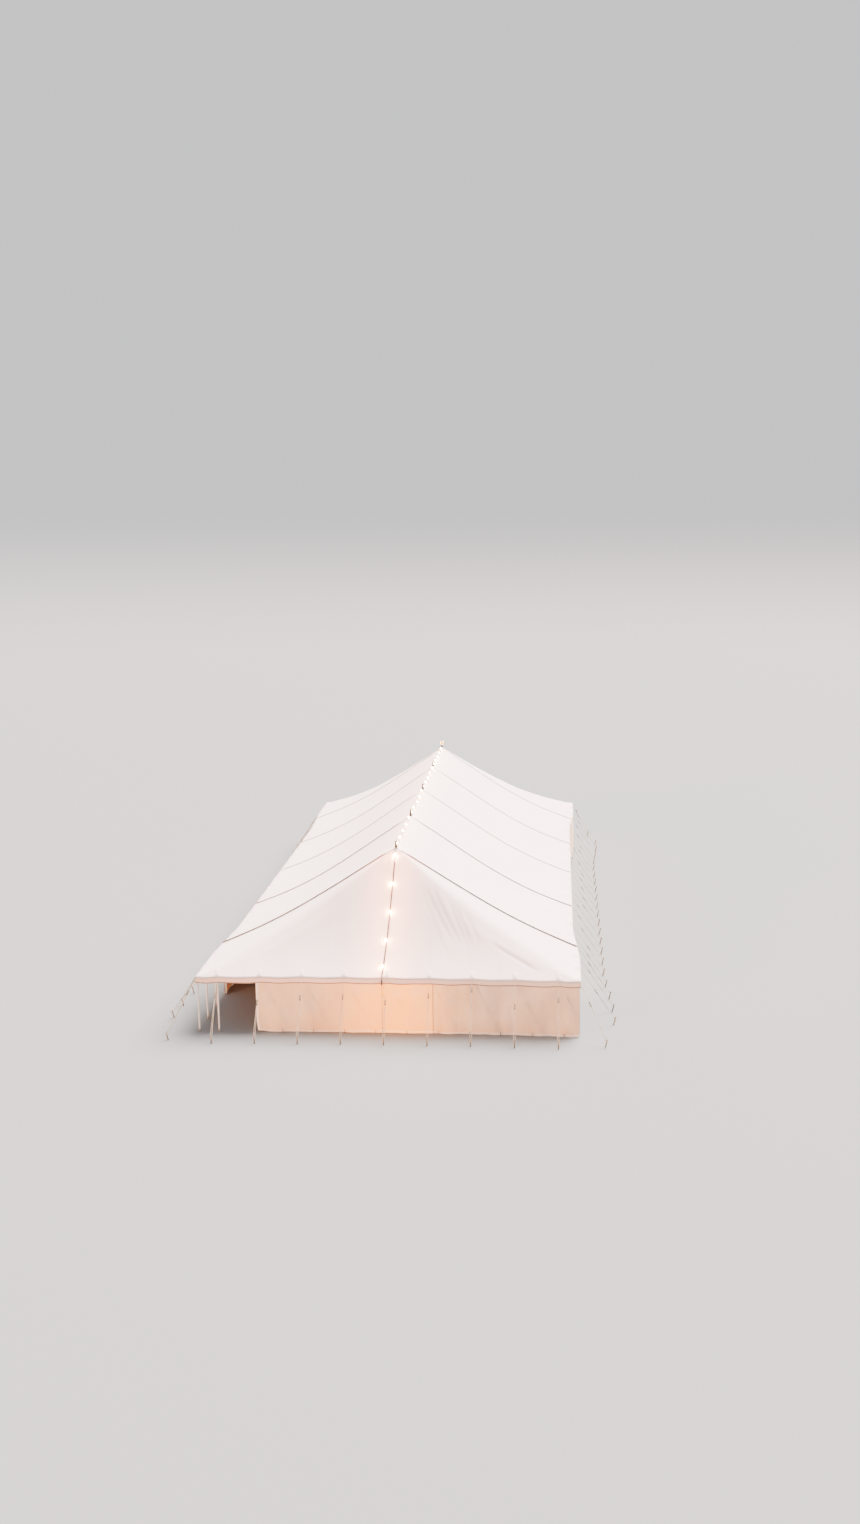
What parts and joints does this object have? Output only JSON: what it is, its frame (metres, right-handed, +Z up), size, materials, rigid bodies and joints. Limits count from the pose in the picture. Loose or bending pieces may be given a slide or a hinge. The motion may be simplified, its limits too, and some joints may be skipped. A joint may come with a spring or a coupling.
{
  "type": "marquee tent",
  "caption": "Traditional white canvas pole marquee with hipped ends, wall curtains, side poles, guy ropes on stakes and festoon lights along the ridge.",
  "frame": {"origin": "middle of the plan, on the ground", "axes": "+Y along the ridge, away from the entrance end; +Z up; +X to the right seen from the entrance end"},
  "size_m": [14.4938, 29.5346, 5.5],
  "materials": {
    "roof_canvas": "matt white cotton canvas",
    "valance_canvas": "matt white cotton canvas",
    "wall_canvas": "matt cream cotton canvas",
    "king_pole_wood": "varnished softwood",
    "side_pole_wood": "oiled ash",
    "stake_wood": "weathered ash",
    "slider_wood": "varnished beech",
    "guy_rope": "laid natural fibre rope",
    "spike_steel": "dull galvanised steel",
    "eyelet_brass": "aged brass",
    "festoon_cable": "matt black rubber",
    "festoon_bulb": "warm lit lamp glass"
  },
  "bodies": {
    "root": {"roof_end_front": "roof_canvas", "roof_bay_1": "roof_canvas", "roof_bay_2": "roof_canvas", "roof_bay_3": "roof_canvas", "roof_bay_4": "roof_canvas", "roof_end_back": "roof_canvas", "valance_front": "valance_canvas", "valance_back": "valance_canvas", "valance_left": "valance_canvas", "valance_right": "valance_canvas", "wall_front_1": "wall_canvas", "wall_front_2": "wall_canvas", "wall_back_1": "wall_canvas", "wall_back_2": "wall_canvas", "wall_left_1": "wall_canvas", "wall_left_2": "wall_canvas", "wall_left_3": "wall_canvas", "wall_left_4": "wall_canvas", "wall_left_5": "wall_canvas", "wall_right_1": "wall_canvas", "wall_right_2": "wall_canvas", "wall_right_3": "wall_canvas", "wall_right_4": "wall_canvas", "wall_right_5": "wall_canvas", "king_pole_1": "king_pole_wood", "king_pole_2": "king_pole_wood", "king_pole_3": "king_pole_wood", "king_pole_4": "king_pole_wood", "king_pole_5": "king_pole_wood", "poles_front": "side_pole_wood", "poles_back": "side_pole_wood", "poles_left": "side_pole_wood", "poles_right": "side_pole_wood", "guys_front": "guy_rope", "guys_back": "guy_rope", "guys_left": "guy_rope", "guys_right": "guy_rope", "festoon_front": "festoon_cable", "festoon_ridge_1": "festoon_cable", "festoon_ridge_2": "festoon_cable", "festoon_ridge_3": "festoon_cable", "festoon_ridge_4": "festoon_cable"}
  },
  "joints": []
}
